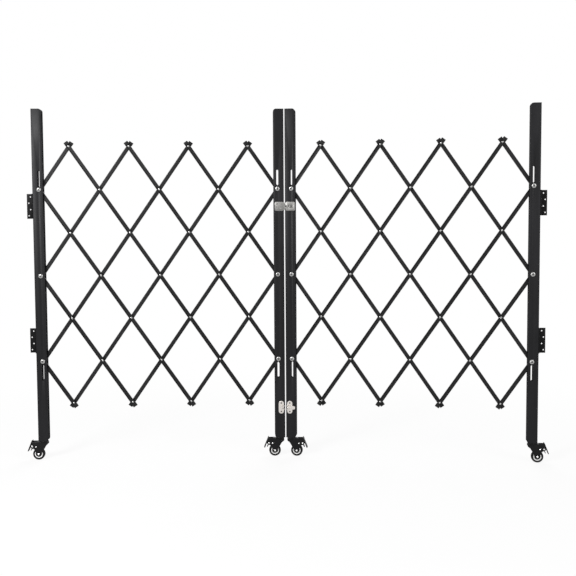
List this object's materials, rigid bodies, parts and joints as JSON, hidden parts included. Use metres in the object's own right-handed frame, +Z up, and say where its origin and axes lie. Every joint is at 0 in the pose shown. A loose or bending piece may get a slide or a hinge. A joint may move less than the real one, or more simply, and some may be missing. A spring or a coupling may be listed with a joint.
{
  "type": "expanding safety barrier",
  "caption": "Expanding steel safety barrier: riveted scissor lattice leaves fold into channel posts on braked swivel casters, with wall hinges, a hasp and a toggle latch.",
  "frame": {"origin": "on the floor, at the middle of the outline of the open barrier", "axes": "+X along the barrier to the right as seen from its front, -Y towards the front, where the hasp and the latch are, +Z up"},
  "size_m": [2.1522, 0.1276, 1.4501],
  "materials": {
    "strip_paint": "black powder coat, satin",
    "post_paint": "black powder coat, satin",
    "hinge_paint": "black powder coat, satin",
    "caster_paint": "black electrophoretic coat, satin",
    "wheel_tyre": "matte black tyre with a pale hub ring",
    "zinc_plate": "dull galvanised",
    "nickel_plate": "nickel plated, satin"
  },
  "bodies": {
    "middle_posts": {"left_middle_post": "post_paint", "right_middle_post": "post_paint", "hasp_base": "zinc_plate", "hasp_staple_plate": "zinc_plate", "latch_base": "nickel_plate", "latch_catch": "nickel_plate"},
    "right_front_strip_1": {"right_front_strip_1": "strip_paint"},
    "right_back_strip_1": {"right_back_strip_1": "strip_paint"},
    "right_front_strip_2": {"right_front_strip_2": "strip_paint"},
    "right_back_strip_2": {"right_back_strip_2": "strip_paint"},
    "right_front_strip_3": {"right_front_strip_3": "strip_paint"},
    "right_back_strip_3": {"right_back_strip_3": "strip_paint"},
    "right_front_strip_4": {"right_front_strip_4": "strip_paint"},
    "right_back_strip_4": {"right_back_strip_4": "strip_paint"},
    "right_front_strip_5": {"right_front_strip_5": "strip_paint"},
    "right_back_strip_5": {"right_back_strip_5": "strip_paint"},
    "right_front_strip_6": {"right_front_strip_6": "strip_paint"},
    "right_back_strip_6": {"right_back_strip_6": "strip_paint"},
    "right_front_strip_7": {"right_front_strip_7": "strip_paint"},
    "right_back_strip_7": {"right_back_strip_7": "strip_paint"},
    "right_outer_post": {"right_outer_post": "post_paint", "right_upper_hinge_post_leaf": "hinge_paint", "right_lower_hinge_post_leaf": "hinge_paint"},
    "right_middle_caster_fork": {"right_middle_caster_fork": "caster_paint"},
    "right_middle_caster_wheel": {"right_middle_caster_wheel": "wheel_tyre"},
    "right_middle_brake_pedal": {"right_middle_brake_pedal": "caster_paint"},
    "right_outer_caster_fork": {"right_outer_caster_fork": "caster_paint"},
    "right_outer_caster_wheel": {"right_outer_caster_wheel": "wheel_tyre"},
    "right_outer_brake_pedal": {"right_outer_brake_pedal": "caster_paint"},
    "right_upper_hinge_wall_leaf": {"right_upper_hinge_wall_leaf": "hinge_paint"},
    "right_lower_hinge_wall_leaf": {"right_lower_hinge_wall_leaf": "hinge_paint"},
    "left_front_strip_1": {"left_front_strip_1": "strip_paint"},
    "left_back_strip_1": {"left_back_strip_1": "strip_paint"},
    "left_front_strip_2": {"left_front_strip_2": "strip_paint"},
    "left_back_strip_2": {"left_back_strip_2": "strip_paint"},
    "left_front_strip_3": {"left_front_strip_3": "strip_paint"},
    "left_back_strip_3": {"left_back_strip_3": "strip_paint"},
    "left_front_strip_4": {"left_front_strip_4": "strip_paint"},
    "left_back_strip_4": {"left_back_strip_4": "strip_paint"},
    "left_front_strip_5": {"left_front_strip_5": "strip_paint"},
    "left_back_strip_5": {"left_back_strip_5": "strip_paint"},
    "left_front_strip_6": {"left_front_strip_6": "strip_paint"},
    "left_back_strip_6": {"left_back_strip_6": "strip_paint"},
    "left_front_strip_7": {"left_front_strip_7": "strip_paint"},
    "left_back_strip_7": {"left_back_strip_7": "strip_paint"},
    "left_outer_post": {"left_outer_post": "post_paint", "left_upper_hinge_post_leaf": "hinge_paint", "left_lower_hinge_post_leaf": "hinge_paint"},
    "left_middle_caster_fork": {"left_middle_caster_fork": "caster_paint"},
    "left_middle_caster_wheel": {"left_middle_caster_wheel": "wheel_tyre"},
    "left_middle_brake_pedal": {"left_middle_brake_pedal": "caster_paint"},
    "left_outer_caster_fork": {"left_outer_caster_fork": "caster_paint"},
    "left_outer_caster_wheel": {"left_outer_caster_wheel": "wheel_tyre"},
    "left_outer_brake_pedal": {"left_outer_brake_pedal": "caster_paint"},
    "left_upper_hinge_wall_leaf": {"left_upper_hinge_wall_leaf": "hinge_paint"},
    "left_lower_hinge_wall_leaf": {"left_lower_hinge_wall_leaf": "hinge_paint"},
    "hasp_strap": {"hasp_strap": "zinc_plate"},
    "hasp_eye": {"hasp_eye": "zinc_plate"},
    "latch_lever": {"latch_lever": "nickel_plate"},
    "latch_bail": {"latch_bail": "nickel_plate"}
  },
  "joints": [
    {"name": "right_fold", "type": "hinge", "parent": "middle_posts", "child": "right_front_strip_2", "pos_m": [0.0295, 0.0422, 0.76794], "axis": [-0.0872, -0.9962, 0], "range_deg": [0, 31.6]},
    {"name": "right_back_strip_2_pivot", "type": "hinge", "parent": "middle_posts", "child": "right_back_strip_2", "pos_m": [0.0295, 0.0422, 0.76794], "axis": [-0.0872, -0.9962, 0], "range_deg": [-31.61, 0]},
    {"name": "right_back_strip_3_pivot", "type": "hinge", "parent": "right_front_strip_2", "child": "right_back_strip_3", "pos_m": [0.15112, 0.03156, 0.94491], "axis": [-0.0872, -0.9962, 0], "range_deg": [-63.21, 0]},
    {"name": "right_back_strip_4_pivot", "type": "hinge", "parent": "right_front_strip_2", "child": "right_back_strip_4", "pos_m": [0.27274, 0.02092, 1.12188], "axis": [-0.0872, -0.9962, 0], "range_deg": [-63.21, 0]},
    {"name": "right_back_strip_5_pivot", "type": "hinge", "parent": "right_front_strip_2", "child": "right_back_strip_5", "pos_m": [0.39437, 0.01028, 1.29886], "axis": [-0.0872, -0.9962, 0], "range_deg": [-63.21, 0]},
    {"name": "right_front_strip_3_pivot", "type": "hinge", "parent": "right_back_strip_2", "child": "right_front_strip_3", "pos_m": [0.15112, 0.03156, 0.59096], "axis": [-0.0872, -0.9962, 0], "range_deg": [0, 63.21]},
    {"name": "right_front_strip_4_pivot", "type": "hinge", "parent": "right_back_strip_2", "child": "right_front_strip_4", "pos_m": [0.27274, 0.02092, 0.41399], "axis": [-0.0872, -0.9962, 0], "range_deg": [0, 63.21]},
    {"name": "right_front_strip_5_pivot", "type": "hinge", "parent": "right_back_strip_2", "child": "right_front_strip_5", "pos_m": [0.39437, 0.01028, 0.23701], "axis": [-0.0872, -0.9962, 0], "range_deg": [0, 63.21]},
    {"name": "right_front_strip_1_pivot", "type": "hinge", "parent": "right_back_strip_4", "child": "right_front_strip_1", "pos_m": [0.15112, 0.03156, 1.29886], "axis": [-0.0872, -0.9962, 0], "range_deg": [0, 63.21]},
    {"name": "right_back_strip_1_pivot", "type": "hinge", "parent": "right_front_strip_4", "child": "right_back_strip_1", "pos_m": [0.15112, 0.03156, 0.23701], "axis": [-0.0872, -0.9962, 0], "range_deg": [-63.21, 0]},
    {"name": "right_back_strip_6_pivot", "type": "hinge", "parent": "right_front_strip_4", "child": "right_back_strip_6", "pos_m": [0.75923, -0.02164, 1.12188], "axis": [-0.0872, -0.9962, 0], "range_deg": [-63.21, 0]},
    {"name": "right_back_strip_7_pivot", "type": "hinge", "parent": "right_front_strip_4", "child": "right_back_strip_7", "pos_m": [0.88085, -0.03228, 1.29886], "axis": [-0.0872, -0.9962, 0], "range_deg": [-63.21, 0]},
    {"name": "right_front_strip_6_pivot", "type": "hinge", "parent": "right_back_strip_4", "child": "right_front_strip_6", "pos_m": [0.75923, -0.02164, 0.41399], "axis": [-0.0872, -0.9962, 0], "range_deg": [0, 63.21]},
    {"name": "right_front_strip_7_pivot", "type": "hinge", "parent": "right_back_strip_4", "child": "right_front_strip_7", "pos_m": [0.88085, -0.03228, 0.23701], "axis": [-0.0872, -0.9962, 0], "range_deg": [0, 63.21]},
    {"name": "right_outer_post_pivot", "type": "hinge", "parent": "right_back_strip_6", "child": "right_outer_post", "pos_m": [1.00248, -0.04292, 0.76794], "axis": [-0.0872, -0.9962, 0], "range_deg": [0, 31.61]},
    {"name": "right_middle_swivel", "type": "hinge", "parent": "middle_posts", "child": "right_middle_caster_fork", "pos_m": [0.02453, 0.04264, 0.07152], "axis": [0, 0, 1], "range_deg": [-90, 90]},
    {"name": "right_middle_wheel_spin", "type": "hinge", "parent": "right_middle_caster_fork", "child": "right_middle_caster_wheel", "pos_m": [0.04645, 0.04072, 0.02452], "axis": [-0.0872, -0.9962, 0], "continuous": true},
    {"name": "right_middle_pedal_lift", "type": "hinge", "parent": "right_middle_caster_fork", "child": "right_middle_brake_pedal", "pos_m": [0.07185, 0.0385, 0.05652], "axis": [-0.0872, -0.9962, 0], "range_deg": [0, 25]},
    {"name": "right_outer_swivel", "type": "hinge", "parent": "right_outer_post", "child": "right_outer_caster_fork", "pos_m": [1.00744, -0.04335, 0.07152], "axis": [0, 0, 1], "continuous": true},
    {"name": "right_outer_wheel_spin", "type": "hinge", "parent": "right_outer_caster_fork", "child": "right_outer_caster_wheel", "pos_m": [1.02936, -0.04527, 0.02452], "axis": [-0.0872, -0.9962, 0], "continuous": true},
    {"name": "right_outer_pedal_lift", "type": "hinge", "parent": "right_outer_caster_fork", "child": "right_outer_brake_pedal", "pos_m": [1.05476, -0.0475, 0.05652], "axis": [-0.0872, -0.9962, 0], "range_deg": [0, 25]},
    {"name": "right_upper_hinge_turn", "type": "hinge", "parent": "right_outer_post", "child": "right_upper_hinge_wall_leaf", "pos_m": [1.03427, -0.03486, 1.05494], "axis": [0, 0, 1], "range_deg": [-88, 90]},
    {"name": "right_lower_hinge_turn", "type": "hinge", "parent": "right_outer_post", "child": "right_lower_hinge_wall_leaf", "pos_m": [1.03427, -0.03486, 0.49894], "axis": [0, 0, 1], "range_deg": [-88, 90]},
    {"name": "left_fold", "type": "hinge", "parent": "middle_posts", "child": "left_front_strip_2", "pos_m": [-0.0295, 0.0422, 0.76794], "axis": [-0.0872, 0.9962, 0], "range_deg": [0, 31.6]},
    {"name": "left_back_strip_2_pivot", "type": "hinge", "parent": "middle_posts", "child": "left_back_strip_2", "pos_m": [-0.0295, 0.0422, 0.76794], "axis": [-0.0872, 0.9962, 0], "range_deg": [-31.61, 0]},
    {"name": "left_back_strip_3_pivot", "type": "hinge", "parent": "left_front_strip_2", "child": "left_back_strip_3", "pos_m": [-0.15112, 0.03156, 0.94491], "axis": [-0.0872, 0.9962, 0], "range_deg": [-63.21, 0]},
    {"name": "left_back_strip_4_pivot", "type": "hinge", "parent": "left_front_strip_2", "child": "left_back_strip_4", "pos_m": [-0.27274, 0.02092, 1.12188], "axis": [-0.0872, 0.9962, 0], "range_deg": [-63.21, 0]},
    {"name": "left_back_strip_5_pivot", "type": "hinge", "parent": "left_front_strip_2", "child": "left_back_strip_5", "pos_m": [-0.39437, 0.01028, 1.29886], "axis": [-0.0872, 0.9962, 0], "range_deg": [-63.21, 0]},
    {"name": "left_front_strip_3_pivot", "type": "hinge", "parent": "left_back_strip_2", "child": "left_front_strip_3", "pos_m": [-0.15112, 0.03156, 0.59096], "axis": [-0.0872, 0.9962, 0], "range_deg": [0, 63.21]},
    {"name": "left_front_strip_4_pivot", "type": "hinge", "parent": "left_back_strip_2", "child": "left_front_strip_4", "pos_m": [-0.27274, 0.02092, 0.41399], "axis": [-0.0872, 0.9962, 0], "range_deg": [0, 63.21]},
    {"name": "left_front_strip_5_pivot", "type": "hinge", "parent": "left_back_strip_2", "child": "left_front_strip_5", "pos_m": [-0.39437, 0.01028, 0.23701], "axis": [-0.0872, 0.9962, 0], "range_deg": [0, 63.21]},
    {"name": "left_front_strip_1_pivot", "type": "hinge", "parent": "left_back_strip_4", "child": "left_front_strip_1", "pos_m": [-0.15112, 0.03156, 1.29886], "axis": [-0.0872, 0.9962, 0], "range_deg": [0, 63.21]},
    {"name": "left_back_strip_1_pivot", "type": "hinge", "parent": "left_front_strip_4", "child": "left_back_strip_1", "pos_m": [-0.15112, 0.03156, 0.23701], "axis": [-0.0872, 0.9962, 0], "range_deg": [-63.21, 0]},
    {"name": "left_back_strip_6_pivot", "type": "hinge", "parent": "left_front_strip_4", "child": "left_back_strip_6", "pos_m": [-0.75923, -0.02164, 1.12188], "axis": [-0.0872, 0.9962, 0], "range_deg": [-63.21, 0]},
    {"name": "left_back_strip_7_pivot", "type": "hinge", "parent": "left_front_strip_4", "child": "left_back_strip_7", "pos_m": [-0.88085, -0.03228, 1.29886], "axis": [-0.0872, 0.9962, 0], "range_deg": [-63.21, 0]},
    {"name": "left_front_strip_6_pivot", "type": "hinge", "parent": "left_back_strip_4", "child": "left_front_strip_6", "pos_m": [-0.75923, -0.02164, 0.41399], "axis": [-0.0872, 0.9962, 0], "range_deg": [0, 63.21]},
    {"name": "left_front_strip_7_pivot", "type": "hinge", "parent": "left_back_strip_4", "child": "left_front_strip_7", "pos_m": [-0.88085, -0.03228, 0.23701], "axis": [-0.0872, 0.9962, 0], "range_deg": [0, 63.21]},
    {"name": "left_outer_post_pivot", "type": "hinge", "parent": "left_back_strip_6", "child": "left_outer_post", "pos_m": [-1.00248, -0.04292, 0.76794], "axis": [-0.0872, 0.9962, 0], "range_deg": [0, 31.61]},
    {"name": "left_middle_swivel", "type": "hinge", "parent": "middle_posts", "child": "left_middle_caster_fork", "pos_m": [-0.02453, 0.04264, 0.07152], "axis": [0, 0, -1], "range_deg": [-90, 90]},
    {"name": "left_middle_wheel_spin", "type": "hinge", "parent": "left_middle_caster_fork", "child": "left_middle_caster_wheel", "pos_m": [-0.04645, 0.04072, 0.02452], "axis": [-0.0872, 0.9962, 0], "continuous": true},
    {"name": "left_middle_pedal_lift", "type": "hinge", "parent": "left_middle_caster_fork", "child": "left_middle_brake_pedal", "pos_m": [-0.07185, 0.0385, 0.05652], "axis": [-0.0872, 0.9962, 0], "range_deg": [0, 25]},
    {"name": "left_outer_swivel", "type": "hinge", "parent": "left_outer_post", "child": "left_outer_caster_fork", "pos_m": [-1.00744, -0.04335, 0.07152], "axis": [0, 0, -1], "continuous": true},
    {"name": "left_outer_wheel_spin", "type": "hinge", "parent": "left_outer_caster_fork", "child": "left_outer_caster_wheel", "pos_m": [-1.02936, -0.04527, 0.02452], "axis": [-0.0872, 0.9962, 0], "continuous": true},
    {"name": "left_outer_pedal_lift", "type": "hinge", "parent": "left_outer_caster_fork", "child": "left_outer_brake_pedal", "pos_m": [-1.05476, -0.0475, 0.05652], "axis": [-0.0872, 0.9962, 0], "range_deg": [0, 25]},
    {"name": "left_upper_hinge_turn", "type": "hinge", "parent": "left_outer_post", "child": "left_upper_hinge_wall_leaf", "pos_m": [-1.03427, -0.03486, 1.05494], "axis": [0, 0, -1], "range_deg": [-88, 90]},
    {"name": "left_lower_hinge_turn", "type": "hinge", "parent": "left_outer_post", "child": "left_lower_hinge_wall_leaf", "pos_m": [-1.03427, -0.03486, 0.49894], "axis": [0, 0, -1], "range_deg": [-88, 90]},
    {"name": "hasp_strap_swing", "type": "hinge", "parent": "middle_posts", "child": "hasp_strap", "pos_m": [-0.00045, 0.02537, 1.04948], "axis": [0, 0, -1], "range_deg": [0, 150]},
    {"name": "hasp_eye_turn", "type": "hinge", "parent": "middle_posts", "child": "hasp_eye", "pos_m": [0.0244, 0.02257, 1.04948], "axis": [-0.0872, -0.9962, 0], "range_deg": [0, 90]},
    {"name": "latch_lever_lift", "type": "hinge", "parent": "middle_posts", "child": "latch_lever", "pos_m": [0.01355, 0.02021, 0.20894], "axis": [0, 0, -1], "range_deg": [0, 90]},
    {"name": "latch_bail_swing", "type": "hinge", "parent": "latch_lever", "child": "latch_bail", "pos_m": [0.01953, 0.02073, 0.20894], "axis": [0, 0, -1], "range_deg": [-81, 0]}
  ],
  "couplings": [
    {"joint": "right_back_strip_2_pivot", "follows": "right_fold", "ratio": -1},
    {"joint": "right_back_strip_3_pivot", "follows": "right_fold", "ratio": -2},
    {"joint": "right_back_strip_4_pivot", "follows": "right_fold", "ratio": -2},
    {"joint": "right_back_strip_5_pivot", "follows": "right_fold", "ratio": -2},
    {"joint": "right_front_strip_3_pivot", "follows": "right_fold", "ratio": 2},
    {"joint": "right_front_strip_4_pivot", "follows": "right_fold", "ratio": 2},
    {"joint": "right_front_strip_5_pivot", "follows": "right_fold", "ratio": 2},
    {"joint": "right_front_strip_1_pivot", "follows": "right_fold", "ratio": 2},
    {"joint": "right_back_strip_1_pivot", "follows": "right_fold", "ratio": -2},
    {"joint": "right_back_strip_6_pivot", "follows": "right_fold", "ratio": -2},
    {"joint": "right_back_strip_7_pivot", "follows": "right_fold", "ratio": -2},
    {"joint": "right_front_strip_6_pivot", "follows": "right_fold", "ratio": 2},
    {"joint": "right_front_strip_7_pivot", "follows": "right_fold", "ratio": 2},
    {"joint": "right_outer_post_pivot", "follows": "right_fold", "ratio": 1},
    {"joint": "left_back_strip_2_pivot", "follows": "left_fold", "ratio": -1},
    {"joint": "left_back_strip_3_pivot", "follows": "left_fold", "ratio": -2},
    {"joint": "left_back_strip_4_pivot", "follows": "left_fold", "ratio": -2},
    {"joint": "left_back_strip_5_pivot", "follows": "left_fold", "ratio": -2},
    {"joint": "left_front_strip_3_pivot", "follows": "left_fold", "ratio": 2},
    {"joint": "left_front_strip_4_pivot", "follows": "left_fold", "ratio": 2},
    {"joint": "left_front_strip_5_pivot", "follows": "left_fold", "ratio": 2},
    {"joint": "left_front_strip_1_pivot", "follows": "left_fold", "ratio": 2},
    {"joint": "left_back_strip_1_pivot", "follows": "left_fold", "ratio": -2},
    {"joint": "left_back_strip_6_pivot", "follows": "left_fold", "ratio": -2},
    {"joint": "left_back_strip_7_pivot", "follows": "left_fold", "ratio": -2},
    {"joint": "left_front_strip_6_pivot", "follows": "left_fold", "ratio": 2},
    {"joint": "left_front_strip_7_pivot", "follows": "left_fold", "ratio": 2},
    {"joint": "left_outer_post_pivot", "follows": "left_fold", "ratio": 1},
    {"joint": "latch_bail_swing", "follows": "latch_lever_lift", "ratio": -0.89}
  ]
}
